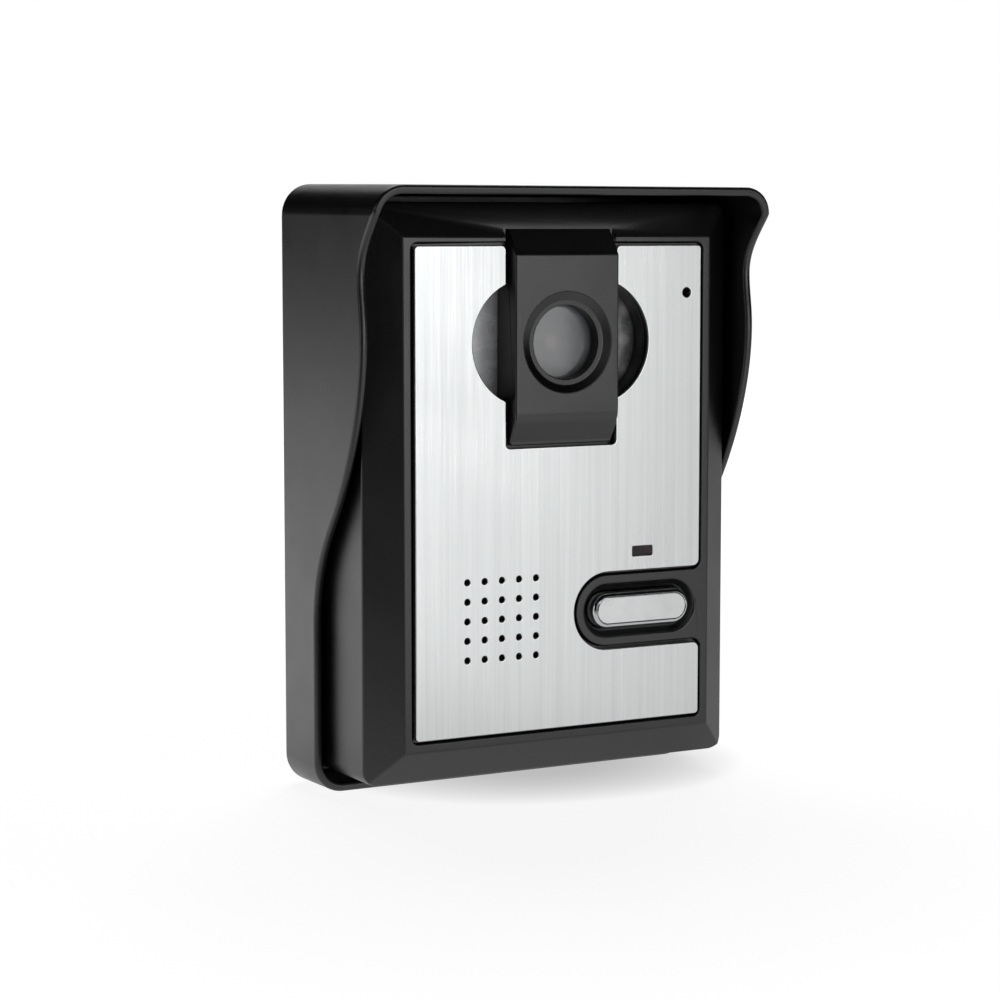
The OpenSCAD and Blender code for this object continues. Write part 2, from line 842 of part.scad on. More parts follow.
module speaker_basket() color("#8f9498") {
    front = -wall_back - 1.02;
    turned_y(speaker_at)
        polygon([
            [speaker_r, front], [speaker_r, front - 1], [14.4, front - 1], [10, front - 5],
            [10, front - 5.8], [5, front - 5.8], [5, front - 5], [9.2, front - 5],
            [13.8, front - 0.8], [14, front]
        ]);
}

module speaker_cone() color("#2b2623") {
    front = -wall_back - 1.1;
    turned_y(speaker_at)
        polygon([
            [0, front - 3.2], [3.8, front - 3.4], [12.6, front - 0.4], [13.6, front - 0.4],
            [13.6, front - 0.1], [12.4, front - 0.1], [3.6, front - 3.1], [0, front - 2.2]
        ]);
}

module speaker_magnet() color("#55585b") {
    bar_y(speaker_at, wall_back + 6.85, main_board_y - 1.6, 9);
}

// ---- Main board ----

module main_board() color(board_green) {
    size = [board_w, board_z1 - board_z0];
    difference() {
        along_y(main_board_y, main_board_y + board_t)
            translate([0, (board_z0 + board_z1) / 2]) round_rect(size[0], size[1], 1);
        for (at = board_holes)
            bar_y(at, main_board_y - 1, main_board_y + board_t + 1, 1.25);
    }
}

module main_board_screws() color(steel) {
    for (at = board_holes)
        back_screw(at, main_board_y + board_t + 0.02, 1, 9, 2.3, 1.6);
}

module audio_chip() color("#1d1e20") {
    back = main_board_y + board_t + 0.02;
    block_y([-22, -27], [10, 6.2], back + 0.2, back + 1.9);
    for (i = [-3:3], z = [-3.8, 3.8])
        block_y([-22 + 1.27 * i, -27 + z], [0.5, 1.5], back, back + 1);
}

module capacitors() color("#31445e") {
    back = main_board_y + board_t + 0.02;
    for (at = [[-26, -44], [-18, -44], [26, -44]])
        bar_y(at, back, back + 7.5, 3.15);
}

// Sockets for the speaker, microphone and camera leads
module lead_sockets() color("#e6e2d6") {
    block_y([-31.5, -4], [5, 6], main_board_y - 5.5, main_board_y - 0.02);
    block_y([26, 5.5], [6, 5], main_board_y - 5.5, main_board_y - 0.02);
    block_y([-8, 4], [11, 5], main_board_y + board_t + 0.02, main_board_y + board_t + 5.5);
    block_y([-8, 19], [11, 5], camera_board_y + board_t + 0.02, camera_board_y + board_t + 5.5);
}

module terminal_block() color("#2f7d4f") {
    back = main_board_y + board_t + 0.02;
    width = 4 * terminal_pitch;
    difference() {
        block_y([0, cable_z], [width, 8], back, back + 10);
        for (i = [-1.5:1.5]) {
            at = [i * terminal_pitch, cable_z];
            bar_y(at, back + 5, back + 11, 1.9);
            block_y(at - [0, 3], [3.4, 4], back + 1.2, back + 4.4);
        }
    }
}

module terminal_screws() color(steel) {
    back = main_board_y + board_t + 0.02;
    for (i = [-1.5:1.5]) {
        at = [i * terminal_pitch, cable_z];
        difference() {
            bar_y(at, back + 5.05, back + 8.6, 1.75);
            block_y(at, [0.6, 4], back + 7.8, back + 9);
        }
    }
}

module volume_trimmer() color("#2b6ea8") {
    back = main_board_y + board_t + 0.02;
    difference() {
        block_y(trimmer_at, [6.6, 6.6], back, back + 4);
        bar_y(trimmer_at, back + 2.6, back + 5, 2.3);
    }
}

module trimmer_rotor() color("#e4e6e6") {
    back = main_board_y + board_t + 0.02;
    difference() {
        bar_y(trimmer_at, back + 2.7, back + 4.6, 2.22);
        block_y(trimmer_at, [0.7, 3.6], back + 3.8, back + 5);
    }
}

// ---- Leads ----

// Round lead bent through a few points, as one smooth tube
module lead(p, r) {
    last = len(p) - 1;
    swept(concat(
        [
            for (i = [0:last - 1])
                let (
                    before = p[max(i - 1, 0)],
                    after = p[min(i + 2, last)],
                    a = p[i] + (p[i + 1] - before) / 6,
                    b = p[i + 1] - (after - p[i]) / 6
                )
                    for (q = curve(p[i], a, b, p[i + 1], 5)) q
        ],
        [p[last]]
    ), r);
}

module speaker_lead() color("#b8322c") {
    lead([
        [-31.5, -28.4, -7.2], [-31.6, -28.6, -9], [-32, -29.6, -13], [-31, -30.4, -17],
        [-28.6, -31, -20], [-27, -31.6, -22]
    ], 0.8);
}

module mic_lead() color("#d8d8d8") {
    lead([
        [32.95, -33, 44.2], [33.1, -31.4, 43.4], [34.4, -29, 38], [35, -27.6, 28],
        [33, -27, 18], [28, -26.8, 12], [26.2, -26.8, 9.6], [26, -26.8, 8.2]
    ], 0.8);
}

module camera_lead() color("#e0d9c8") {
    lead([
        [-8, -15.6, 16.2], [-8, -15.6, 14.8], [-8, -15.7, 12.8], [-8, -17.2, 10.8],
        [-8, -19.2, 9.6], [-8, -19.6, 8.2], [-8, -19.6, 6.9]
    ], 1.2);
}

// ---- Rear cover ----

module body_outline(inset, r) {
    translate([0, body_z])
        round_rect(body_w - 2 * inset, body_h - 2 * inset, r);
}

module cover_seal() color(rubber_black) {
    along_y(rim_y + 0.02, cover_front - 0.02) difference() {
        body_outline(0.1, body_r);
        body_outline(shell, body_r - shell + 0.1);
    }
}

module rear_cover() color(charcoal) {
    rib = 1.5;
    rib_inset = shell + 0.3;
    cup_r = 4.4;
    difference() {
        union() {
            along_y(cover_front, cover_back) body_outline(0.1, body_r);
            difference() {
                along_y(boss_end + 0.05, cover_front + eps) difference() {
                    body_outline(rib_inset, 1.3);
                    body_outline(rib_inset + rib, 1);
                }
                for (at = cover_holes) bar_y(at, boss_end - 1, cover_front, cup_r + 0.6);
                block_y([0, body_bottom], [10, 24], boss_end - 1, cover_front);
            }
            for (at = cover_holes)
                intersection() {
                    bar_y(at, boss_end + 0.05, cover_front + eps, cup_r);
                    along_y(boss_end - 1, cover_front + 1) body_outline(rib_inset, 1.3);
                }
        }
        for (at = cover_holes) {
            bar_y(at, cover_back - 2.6, cover_back + 1, 3.1);
            bar_y(at, boss_end - 1, cover_back + 1, 1.65);
        }
        for (x = [-hook_x, hook_x])
            block_y([x, hook_z + 0.9], [8, 4.9], cover_front - 1, cover_back + 1);
        along_y(cover_front - 1, cover_back + 1)
            translate([0, cable_z]) round_rect(32, 16, 1.5);
        bar_y(trimmer_at, cover_front - 1, cover_back + 1, 2.5);
    }
}

module cover_screws() color(steel) {
    for (at = cover_holes)
        back_screw(at, cover_back - 2.55, 1.4, 14, 2.8, 2);
}

// ---- Drawing ----

rain_hood();
hood_screw();
front_housing();
face_plate();
plate_adhesive();
camera_bridge();
lens_bezel();
lens_glass();
light_shield();
ir_window();
ir_lamp_board();
ir_lamps();
light_sensor();
lamp_board_screws();
board_spacers();
spacer_screws();
camera_board();
camera_board_screws();
image_sensor();
lens_holder();
lens_barrel();
front_lens();
call_button();
button_springs();
button_guide();
guide_screws();
call_switch();
switch_plunger();
status_window();
status_lamp();
mic_boot();
mic_capsule();
speaker_cloth();
speaker_gasket();
speaker_basket();
speaker_cone();
speaker_magnet();
main_board();
main_board_screws();
audio_chip();
capacitors();
lead_sockets();
terminal_block();
terminal_screws();
volume_trimmer();
trimmer_rotor();
speaker_lead();
mic_lead();
camera_lead();
cover_seal();
rear_cover();
cover_screws();
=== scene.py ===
"""Door intercom panel: the looks of a door station that hangs in its rain hood.

Modelling is in millimetres and is turned into metres when a piece is made. +Z is up, the front
faces -Y, and the origin is the middle of the hood's wall face.
"""
import json
import math

import bmesh
import bpy
from mathutils import Matrix, Vector


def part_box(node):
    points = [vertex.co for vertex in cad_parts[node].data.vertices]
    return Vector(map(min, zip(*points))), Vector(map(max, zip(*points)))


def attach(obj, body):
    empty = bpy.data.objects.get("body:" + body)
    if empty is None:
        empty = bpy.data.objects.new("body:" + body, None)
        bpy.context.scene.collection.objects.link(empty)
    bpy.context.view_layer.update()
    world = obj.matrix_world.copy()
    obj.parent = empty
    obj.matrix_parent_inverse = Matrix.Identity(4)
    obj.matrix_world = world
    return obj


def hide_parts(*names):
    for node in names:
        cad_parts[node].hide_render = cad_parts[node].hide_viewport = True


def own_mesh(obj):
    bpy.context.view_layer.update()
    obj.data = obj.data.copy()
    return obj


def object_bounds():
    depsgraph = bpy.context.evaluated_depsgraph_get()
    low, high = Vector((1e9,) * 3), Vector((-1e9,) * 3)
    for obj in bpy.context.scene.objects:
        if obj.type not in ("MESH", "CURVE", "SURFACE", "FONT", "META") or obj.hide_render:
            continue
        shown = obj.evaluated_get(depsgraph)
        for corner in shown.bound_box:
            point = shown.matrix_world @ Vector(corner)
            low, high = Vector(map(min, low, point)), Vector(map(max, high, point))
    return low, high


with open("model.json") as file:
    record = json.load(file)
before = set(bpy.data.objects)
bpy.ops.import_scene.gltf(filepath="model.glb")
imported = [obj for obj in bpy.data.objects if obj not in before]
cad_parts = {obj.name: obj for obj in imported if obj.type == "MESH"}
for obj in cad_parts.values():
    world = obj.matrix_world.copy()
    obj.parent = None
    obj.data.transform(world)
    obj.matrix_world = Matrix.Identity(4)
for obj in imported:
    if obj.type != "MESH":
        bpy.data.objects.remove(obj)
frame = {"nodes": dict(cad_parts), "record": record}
cad_low, cad_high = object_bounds()

MM = 0.001
NODE_BODY = {n: body for body, nodes in frame["record"]["behaviour"]["bodies"].items() for n in nodes}


class Box:
    """A CAD node's box in millimetres."""

    def __init__(self, node):
        low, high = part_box(node)
        self.x0, self.y0, self.z0 = low / MM
        self.x1, self.y1, self.z1 = high / MM
        self.cx, self.cy, self.cz = (low + high) / 2 / MM
        self.w, self.d, self.h = (high - low) / MM


HOOD = Box("rain_hood")
PLATE = Box("face_plate")
GLASS = Box("lens_glass")
BEZEL = Box("lens_bezel")
BUTTON = Box("call_button")
LAMPS = Box("ir_lamps")
LAMP_PITCH = 6.8


# ---- Materials ----

class Finish:
    """One node material: a Principled shader, fed by patterns that lie on the piece itself."""

    def __init__(self, name, **sockets):
        self.material = bpy.data.materials.new(name)
        self.material.use_nodes = True
        self.tree = self.material.node_tree
        self.shader = self.tree.nodes["Principled BSDF"]
        self.coords = self.add("ShaderNodeTexCoord").outputs["Object"]
        for socket, value in sockets.items():
            self.shader.inputs[socket.replace("_", " ")].default_value = value

    def add(self, kind, **settings):
        node = self.tree.nodes.new(kind)
        for name, value in settings.items():
            setattr(node, name, value)
        return node

    def feed(self, node, socket, value):
        """Links an output to a socket, or sets the socket to a value."""
        if isinstance(value, bpy.types.NodeSocket):
            self.tree.links.new(value, node.inputs[socket])
        else:
            node.inputs[socket].default_value = value

    def noise(self, size, stretch=(1, 1, 1), detail=2.0, rough=0.5):
        """Noise whose marks are about size millimetres across, drawn out along each axis by stretch."""
        place = self.add("ShaderNodeMapping")
        self.feed(place, "Vector", self.coords)
        place.inputs["Scale"].default_value = [1 / (size * MM * s) for s in stretch]
        noise = self.add("ShaderNodeTexNoise")
        self.feed(noise, "Vector", place.outputs["Vector"])
        noise.inputs["Scale"].default_value = 1
        noise.inputs["Detail"].default_value = detail
        noise.inputs["Roughness"].default_value = rough
        return noise.outputs["Fac"]

    def spots(self, size):
        """Distance to the nearest of many scattered points, about size millimetres apart."""
        cells = self.add("ShaderNodeTexVoronoi")
        self.feed(cells, "Vector", self.coords)
        cells.inputs["Scale"].default_value = 1 / (size * MM)
        return cells.outputs["Distance"]

    def span(self, value, low, high, start=0.3, end=0.7):
        """Spreads a pattern's values from start to end over low to high."""
        node = self.add("ShaderNodeMapRange")
        self.feed(node, "Value", value)
        self.feed(node, "From Min", start)
        self.feed(node, "From Max", end)
        self.feed(node, "To Min", low)
        self.feed(node, "To Max", high)
        return node.outputs["Result"]

    def mix(self, share, first, second):
        """Blends two colours: the first where share is 0, the second where it is 1."""
        node = self.add("ShaderNodeMix", data_type="RGBA")
        self.feed(node, "Factor", share)
        for socket, colour in (("A", first), ("B", second)):
            target = [i for i in node.inputs if i.name == socket and i.type == "RGBA"][0]
            if isinstance(colour, bpy.types.NodeSocket):
                self.tree.links.new(colour, target)
            else:
                target.default_value = (*colour, 1)
        return [o for o in node.outputs if o.type == "RGBA"][0]

    def combine(self, first, second, operation="ADD"):
        """Adds two values, or does another sum with them."""
        node = self.add("ShaderNodeMath", operation=operation)
        self.feed(node, 0, first)
        self.feed(node, 1, second)
        return node.outputs["Value"]

    def colour(self, value):
        self.feed(self.shader, "Base Color", value)

    def rough(self, value):
        self.feed(self.shader, "Roughness", value)

    def place(self):
        """The X, Y and Z of each point on the piece, in metres."""
        parts = self.add("ShaderNodeSeparateXYZ")
        self.feed(parts, "Vector", self.coords)
        return parts.outputs["X"], parts.outputs["Y"], parts.outputs["Z"]

    def bump(self, height, depth):
        """Raises the surface by up to depth millimetres where the pattern is high."""
        node = self.add("ShaderNodeBump")
        node.inputs["Distance"].default_value = depth * MM
        self.feed(node, "Height", height)
        if self.shader.inputs["Normal"].is_linked:
            self.feed(node, "Normal", self.shader.inputs["Normal"].links[0].from_socket)
        self.feed(self.shader, "Normal", node.outputs["Normal"])


def moulded(name, dark, light, rough, grain=0.22, depth=0.012, **sockets):
    """Moulded plastic: fine pitted texture, faint cloudiness and rubbed patches."""
    finish = Finish(name, **sockets)
    cloud = finish.noise(14, detail=4)
    speck = finish.noise(grain, detail=2, rough=0.6)
    finish.colour(finish.mix(finish.span(finish.combine(cloud, speck), 0, 1, 0.8, 1.2), dark, light))
    finish.rough(finish.combine(finish.span(cloud, *rough), finish.span(speck, -0.04, 0.04)))
    finish.bump(speck, depth)
    return finish.material


def plated(name, dark, light, rough, size=0.3, stretch=(1, 1, 1), depth=0.004):
    """Plated or machined metal with fine tool marks."""
    finish = Finish(name, Metallic=1.0)
    marks = finish.noise(size, stretch, detail=3)
    cloud = finish.noise(6, detail=3)
    finish.colour(finish.mix(finish.span(cloud, 0, 1), dark, light))
    finish.rough(finish.combine(finish.span(cloud, *rough), finish.span(marks, -0.05, 0.05)))
    finish.bump(marks, depth)
    return finish.material


def brushed_plate():
    """Aluminium brushed upright: long hairlines, a slow change of tone and a clear anodised face."""
    finish = Finish("brushed_aluminium", Metallic=1.0)
    hairs = finish.noise(0.16, (1, 1, 220), detail=3, rough=0.65)
    bands = finish.noise(0.9, (1, 1, 90), detail=2)
    cloud = finish.noise(30, detail=2)
    tone = finish.combine(finish.span(hairs, -0.35, 0.35), finish.span(bands, 0.2, 0.8))
    finish.colour(finish.mix(tone, (0.78, 0.80, 0.80), (0.90, 0.92, 0.92)))
    finish.rough(finish.combine(finish.span(cloud, 0.30, 0.36), finish.span(hairs, -0.06, 0.08)))
    finish.bump(hairs, 0.0035)
    finish.bump(bands, 0.002)
    return finish.material


def circuit_board():
    """Green lacquer over copper tracks that show as slightly raised, lighter lines."""
    finish = Finish("green_board", Coat_Weight=0.5, Coat_Roughness=0.15)
    tracks = finish.add("ShaderNodeTexBrick", offset=0.35, squash=0.6)
    finish.feed(tracks, "Vector", finish.coords)
    tracks.inputs["Scale"].default_value = 190
    tracks.inputs["Mortar Size"].default_value = 0.03
    lines = tracks.outputs["Fac"]
    cloud = finish.noise(5, detail=3)
    lacquer = finish.mix(finish.span(cloud, 0, 1), (0.012, 0.075, 0.03), (0.02, 0.11, 0.045))
    finish.colour(finish.mix(lines, lacquer, (0.05, 0.22, 0.09)))
    finish.rough(finish.span(cloud, 0.28, 0.4))
    finish.bump(lines, 0.03)
    return finish.material


def hazed(finish, dark, light, rough):
    """Gives a glass finish its haze and specks of dust. Returns its clouded tint."""
    haze = finish.noise(3.5, detail=3)
    dust = finish.spots(1.1)
    finish.rough(finish.combine(finish.span(haze, *rough), finish.span(dust, 0.08, 0, 0.02, 0.12)))
    return finish.mix(finish.span(haze, 0, 1), dark, light)


def cover_glass(name, dark, light, rough, clear):
    """Glass or acrylic with a faint haze and specks of dust."""
    finish = Finish(name, Transmission_Weight=clear, IOR=1.5)
    finish.colour(hazed(finish, dark, light, rough))
    return finish.material


def camera_cover():
    """Hazy cover glass with a painted glint of the lens behind it: a faint, warm, paler patch."""
    lens_glint_offset = 2.1
    finish = Finish("camera_glass", Transmission_Weight=0.2, IOR=1.7)
    glass = hazed(finish, (0.22, 0.235, 0.245), (0.29, 0.30, 0.31), (0.10, 0.15))
    # Painted glint: the glass turns warm and paler in a small round patch over the lens behind.
    off_lens_glint = finish.add("ShaderNodeVectorMath", operation="DISTANCE")
    finish.feed(off_lens_glint, 0, finish.coords)
    finish.feed(off_lens_glint, 1, ((GLASS.cx - lens_glint_offset) * MM, GLASS.y0 * MM, GLASS.cz * MM))
    lens_glint = finish.span(off_lens_glint.outputs["Value"], 0.75, 0, start=0.0008, end=0.0026)
    finish.colour(finish.mix(lens_glint, glass, (0.40, 0.36, 0.355)))
    return finish.material


def infrared_window():
    """Glossy smoked acrylic, with painted shade that darkens it to the right, and painted highlights where
    each lamp stands close behind it.
    """
    spot_inset = 2.2
    finish = Finish("smoked_acrylic", IOR=1.8)
    x, _, z = finish.place()
    # Painted highlights: a pale round spot over each lamp's place behind the window.
    across = finish.combine(finish.combine(x, 0, "ABSOLUTE"), (LAMPS.x1 - spot_inset) * MM, "SUBTRACT")
    up = finish.combine(z, (LAMPS.cz - LAMP_PITCH / 2) * MM, "SUBTRACT")
    up = finish.combine(up, LAMP_PITCH * MM, "FLOORED_MODULO")
    up = finish.combine(up, LAMP_PITCH / 2 * MM, "SUBTRACT")
    off_axis = finish.combine(finish.combine(across, 2, "POWER"), finish.combine(up, 2, "POWER"))
    lamp_highlight_mask = finish.span(finish.combine(off_axis, 0.5, "POWER"), 1, 0, start=0.0006, end=0.0021)
    haze = finish.span(finish.noise(3, detail=3), 0, 1)
    smoke = finish.mix(haze, (0.70, 0.71, 0.73), (0.84, 0.85, 0.87))
    shaded_smoke = finish.mix(haze, (0.15, 0.155, 0.16), (0.22, 0.225, 0.23))
    # Painted shade: the smoke and the lamp spots both turn darker towards the right.
    shade_to_right = finish.span(x, 0, 1, start=-0.004, end=0.010)
    # Painted highlight colours for the lamp spots: bright on the left, dimmed by painted shade on the right.
    lamp = finish.mix(shade_to_right, (1.0, 0.93, 0.92), (0.46, 0.43, 0.43))
    finish.colour(finish.mix(lamp_highlight_mask, finish.mix(shade_to_right, smoke, shaded_smoke), lamp))
    finish.rough(finish.combine(finish.combine(haze, 0.06, "MULTIPLY"), 0.24))
    return finish.material


def woven(name, dark, light, pitch):
    """Thin pressed or woven fibre."""
    finish = Finish(name, Sheen_Weight=0.2)
    weave = finish.add("ShaderNodeTexWave", wave_type="BANDS", bands_direction="DIAGONAL")
    finish.feed(weave, "Vector", finish.coords)
    weave.inputs["Scale"].default_value = 1 / (pitch * MM)
    weave.inputs["Distortion"].default_value = 1.5
    fibre = finish.noise(0.3, detail=4)
    finish.colour(finish.mix(finish.span(fibre, 0, 1), dark, light))
    finish.rough(finish.span(fibre, 0.75, 0.95))
    finish.bump(finish.combine(weave.outputs["Fac"], fibre), 0.03)
    return finish.material


FINISHES = {
    "charcoal_plastic": moulded(
        "charcoal_moulding", (0.0016, 0.0018, 0.002), (0.003, 0.0032, 0.0034), (0.29, 0.35),
        0.24, 0.022, IOR=1.76,
    ),
    "black_plastic": moulded(
        "black_moulding", (0.0015, 0.0015, 0.0018), (0.003, 0.003, 0.0033), (0.26, 0.32),
        0.15, 0.004, IOR=1.65,
    ),
    "brushed_plate": brushed_plate(),
    "button_chrome": plated(
        "chrome_rim", (0.80, 0.82, 0.84), (0.88, 0.90, 0.91), (0.08, 0.12), 0.4, depth=0.0006
    ),
    "lens_cover": camera_cover(),
    "infrared_filter": infrared_window(),
    "status_red": cover_glass("red_acrylic", (0.02, 0.005, 0.006), (0.035, 0.008, 0.01), (0.2, 0.3), 0.3),
    "rubber": moulded("black_rubber", (0.008, 0.008, 0.008), (0.014, 0.014, 0.014), (0.7, 0.85), 0.3, 0.02),
    "screw_steel": plated("zinc_steel", (0.42, 0.43, 0.44), (0.60, 0.61, 0.61), (0.24, 0.36)),
    "spacer_brass": plated(
        "turned_brass", (0.50, 0.34, 0.12), (0.68, 0.50, 0.20), (0.2, 0.32), 0.15, (8, 1, 8)
    ),
    "circuit_board": circuit_board(),
    "lamp_resin": cover_glass("lamp_resin", (0.50, 0.53, 0.58), (0.66, 0.69, 0.74), (0.05, 0.14), 0.6),
    "chip_plastic": moulded(
        "chip_resin", (0.012, 0.012, 0.013), (0.022, 0.022, 0.024), (0.5, 0.65), 0.12, 0.006
    ),
    "capacitor_sleeve": moulded(
        "blue_sleeve", (0.012, 0.03, 0.09), (0.02, 0.045, 0.13), (0.22, 0.34), 0.8, 0.01
    ),
    "socket_plastic": moulded(
        "natural_nylon", (0.55, 0.52, 0.44), (0.66, 0.63, 0.54), (0.4, 0.52), 0.4, 0.01
    ),
    "terminal_plastic": moulded(
        "green_nylon", (0.014, 0.12, 0.045), (0.022, 0.17, 0.07), (0.4, 0.5), 0.4, 0.01
    ),
    "trimmer_plastic": moulded(
        "blue_nylon", (0.012, 0.08, 0.24), (0.02, 0.11, 0.32), (0.3, 0.42), 0.4, 0.008
    ),
    "speaker_metal": plated("pressed_steel", (0.34, 0.35, 0.36), (0.48, 0.49, 0.50), (0.28, 0.4), 0.5),
    "speaker_paper": woven("speaker_paper", (0.010, 0.009, 0.008), (0.03, 0.027, 0.024), 0.6),
    "adhesive": moulded("foam_sheet", (0.60, 0.58, 0.50), (0.74, 0.71, 0.62), (0.7, 0.85), 0.3, 0.02),
    "lead_sleeve": moulded("wire_sleeve", (0.22, 0.19, 0.18), (0.34, 0.29, 0.27), (0.4, 0.55), 0.5, 0.01),
}
SLOT_OF = {row["node"]: row["material_slot"] for row in frame["record"]["subparts"]}


# ---- Piece making ----

def piece(name, bm, node, materials=()):
    """Makes a bmesh in millimetres into a piece that stands for a CAD node and rides on its body."""
    bmesh.ops.scale(bm, vec=(MM, MM, MM), verts=bm.verts)
    mesh = bpy.data.meshes.new(name)
    bm.to_mesh(mesh)
    bm.free()
    mesh.shade_smooth()
    made = bpy.data.objects.new(name, mesh)
    bpy.context.scene.collection.objects.link(made)
    slot = SLOT_OF[node]
    for material in materials or [FINISHES[slot]]:
        mesh.materials.append(material)
    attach(made, NODE_BODY[node])
    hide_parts(node)
    return made


def soften(made, width, keep_crisp=None):
    """Rounds a piece's sharp edges, but not those whose middle keep_crisp picks, and keeps flats flat."""
    least_angle = math.radians(28)
    bm = bmesh.new()
    bm.from_mesh(made.data)
    share = bm.edges.layers.float.new("bevel_weight_edge")
    for edge in bm.edges:
        middle = (edge.verts[0].co + edge.verts[1].co) / (2 * MM)
        sharp = edge.calc_face_angle(0) > least_angle
        edge[share] = 1.0 if sharp and not (keep_crisp and keep_crisp(middle)) else 0.0
    bm.to_mesh(made.data)
    bm.free()
    edges = made.modifiers.new("edge_round", "BEVEL")
    edges.width = width * MM
    edges.segments = 3
    edges.limit_method = "WEIGHT"
    edges.use_clamp_overlap = False
    made.modifiers.new("flat_faces", "WEIGHTED_NORMAL").keep_sharp = True


def node_surface(node):
    """A node's own surface in millimetres, with its loose triangles joined and its flats made whole."""
    bm = bmesh.new()
    bm.from_mesh(frame["nodes"][node].data)
    bmesh.ops.scale(bm, vec=(1 / MM, 1 / MM, 1 / MM), verts=bm.verts)
    bmesh.ops.remove_doubles(bm, verts=bm.verts, dist=0.002)
    bmesh.ops.dissolve_limit(bm, angle_limit=math.radians(0.5), verts=bm.verts, edges=bm.edges)
    return bm


def rounded(node, width, keep_crisp=None):
    """A node's own shape with its edges rounded. The hood's curved rim is thinned out first."""
    bm = node_surface(node)
    if node == "rain_hood":
        rim = [v for v in bm.verts if v.co.y < HOOD.y0 / 3]
        bmesh.ops.remove_doubles(bm, verts=rim, dist=0.4)
    soften(piece(f"{node}_rounded", bm, node), width, keep_crisp)


def under_visor(p):
    """True for the housing's edges at the bridge's way through its upper bevel."""
    slot_half = 16
    return abs(p.x) < slot_half and p.z > PLATE.z1 + 0.3


def at_collar(p):
    """True for the bridge's edges round the collar and at its hidden top."""
    off_axis = math.hypot(p.x - BEZEL.cx, p.z - BEZEL.cz)
    return off_axis < BEZEL.w / 2 + 0.3 or p.z > PLATE.z1 + 2


def turned(profile, axis, steps=96):
    """Spins a closed outline of (radius, y) points about a line along Y through axis, an (x, z) point."""
    bm = bmesh.new()
    ring = [bm.verts.new((radius, y, 0)) for radius, y in profile]
    edges = [bm.edges.new(pair) for pair in zip(ring, ring[1:] + ring[:1])]
    bmesh.ops.spin(
        bm, geom=ring + edges, cent=(0, 0, 0), axis=(0, 1, 0), angle=math.tau, steps=steps, use_merge=True
    )
    bmesh.ops.remove_doubles(bm, verts=bm.verts, dist=0.001)
    bmesh.ops.recalc_face_normals(bm, faces=bm.faces)
    bmesh.ops.translate(bm, vec=(axis[0], 0, axis[1]), verts=bm.verts)
    return bm


def eased(points, radius, steps=4):
    """A closed outline with each corner rounded by up to radius."""
    outline = []
    for i, point in enumerate(points):
        corner = Vector(point)
        back = Vector(points[i - 1]) - corner
        ahead = Vector(points[(i + 1) % len(points)]) - corner
        cut = min(radius, 0.45 * back.length, 0.45 * ahead.length)
        start = corner + back.normalized() * cut
        end = corner + ahead.normalized() * cut
        for k in range(steps + 1):
            t = k / steps
            outline.append(start * (1 - t) ** 2 + corner * 2 * t * (1 - t) + end * t ** 2)
    return outline


def stack_sections(bm, half, sections, segments=64):
    """Bridges round-ended sections, each a (radius, y), and closes both ends. Returns the last end's face."""
    turn = Matrix.Rotation(math.pi / 2, 4, "X") @ Matrix.Rotation(math.pi / segments, 4, "Z")
    loops = []
    for radius, y in sections:
        ring = bmesh.ops.create_circle(
            bm, cap_ends=False, segments=segments, radius=radius, matrix=Matrix.Translation((0, y, 0)) @ turn
        )["verts"]
        for v in ring:
            v.co.x += math.copysign(half, v.co.x)
        loops.append(list({e for v in ring for e in v.link_edges}))
    for first, second in zip(loops, loops[1:]):
        bmesh.ops.bridge_loops(bm, edges=first + second)
    bmesh.ops.edgeloop_fill(bm, edges=loops[0])
    return bmesh.ops.edgeloop_fill(bm, edges=loops[-1])["faces"][0]


def peg(bm, x, z, y0, y1, radius, segments=32):
    """Round peg along Y."""
    place = Matrix.Translation((x, (y0 + y1) / 2, z)) @ Matrix.Rotation(math.pi / 2, 4, "X")
    bmesh.ops.create_cone(
        bm, cap_ends=True, segments=segments, radius1=radius, radius2=radius, depth=y1 - y0, matrix=place
    )


def crown_rim(bm, facing, width, steps=3):
    """Rounds the rims of the flat area that faces along facing, by raising it in ever flatter insets."""
    bm.normal_update()
    flat = [f for f in bm.faces if f.normal.dot(facing) > 0.999]
    front = max(v.co.dot(facing) for f in flat for v in f.verts)
    flat = [f for f in flat if min(v.co.dot(facing) for v in f.verts) > front - 0.01]
    for v in {v for f in flat for v in f.verts}:
        v.co -= facing * width
    for k in range(steps):
        here, there = (math.pi / 2 * (k + step) / steps for step in (0, 1))
        bmesh.ops.inset_region(
            bm, faces=flat, use_even_offset=True, use_boundary=True,
            thickness=width * (math.cos(here) - math.cos(there)),
            depth=width * (math.sin(there) - math.sin(here)),
        )
    return flat


# ---- Face plate ----

def brushed_sheet():
    """The plate, with its cut edges broken all round and at each hole."""
    bm = node_surface("face_plate")
    face = set(crown_rim(bm, Vector((0, -1, 0)), 0.2))
    for f in bm.faces:
        f.material_index = 0 if f in face else 1
    cut_edge = plated("polished_edge", (0.86, 0.88, 0.88), (0.94, 0.95, 0.95), (0.10, 0.16), 0.2, depth=0.001)
    plate = piece("brushed_plate", bm, "face_plate", [FINISHES["brushed_plate"], cut_edge])
    plate.modifiers.new("flat_faces", "WEIGHTED_NORMAL").keep_sharp = True


# ---- Camera window ----

